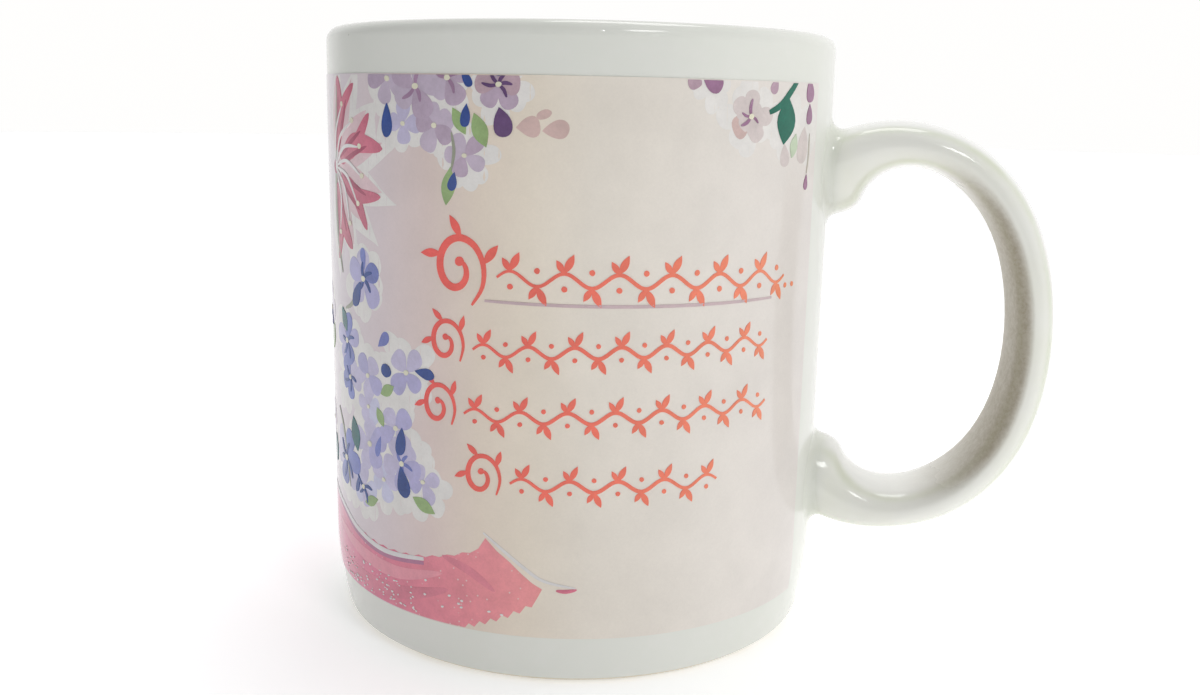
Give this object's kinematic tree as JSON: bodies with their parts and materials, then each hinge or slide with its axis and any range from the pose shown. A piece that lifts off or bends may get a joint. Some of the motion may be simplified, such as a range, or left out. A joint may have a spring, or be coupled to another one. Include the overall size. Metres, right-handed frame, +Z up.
{
  "type": "ceramic mug",
  "caption": "Straight-sided glazed ceramic mug with a looped side handle, a rounded lip, a foot ring and a printed wrap-round floral band.",
  "frame": {"origin": "centre of the foot ring, on the plane the mug stands on", "axes": "+Z up along the mug's axis, +X from the axis towards the handle"},
  "size_m": [0.1185, 0.0822, 0.095],
  "materials": {
    "clay": "matte",
    "slip": "matte",
    "glaze": "gloss",
    "print": "gloss"
  },
  "bodies": {
    "root": {"body": "clay", "handle": "clay", "upper_slip_joint": "slip", "lower_slip_joint": "slip", "outer_glaze": "glaze", "liner_glaze": "glaze", "foot_well_glaze": "glaze", "decal": "print"}
  },
  "joints": []
}
